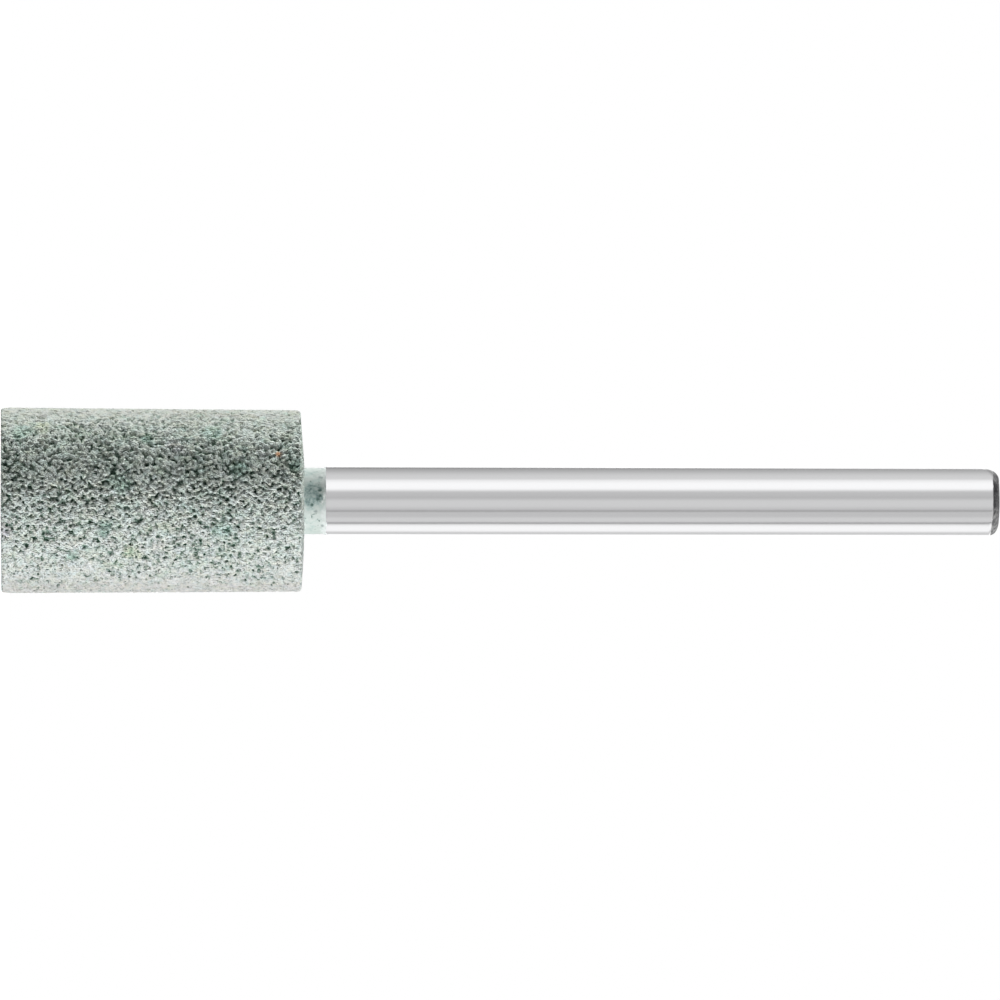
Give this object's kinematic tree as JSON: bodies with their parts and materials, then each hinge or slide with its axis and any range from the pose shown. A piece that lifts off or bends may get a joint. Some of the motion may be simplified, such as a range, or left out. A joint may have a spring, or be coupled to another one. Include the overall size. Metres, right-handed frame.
{
  "type": "mounted point",
  "caption": "Cylindrical mounted point for grinding: a porous bonded-abrasive head cemented on a straight ground steel shank that a collet grips.",
  "frame": {"origin": "centre of the head's flat working face", "axes": "+Z along the common axis of head and shank, from the working face to the shank's free end; X and Y are free, as every section is round"},
  "size_m": [0.008, 0.008, 0.043],
  "materials": {
    "bonded_abrasive": "rough porous light grey-green grains",
    "ground_steel": "ground and polished bright",
    "cement": "matte pale green"
  },
  "bodies": {
    "root": {"abrasive_head": "bonded_abrasive", "shank": "ground_steel", "bonding_cement": "cement"}
  },
  "joints": []
}
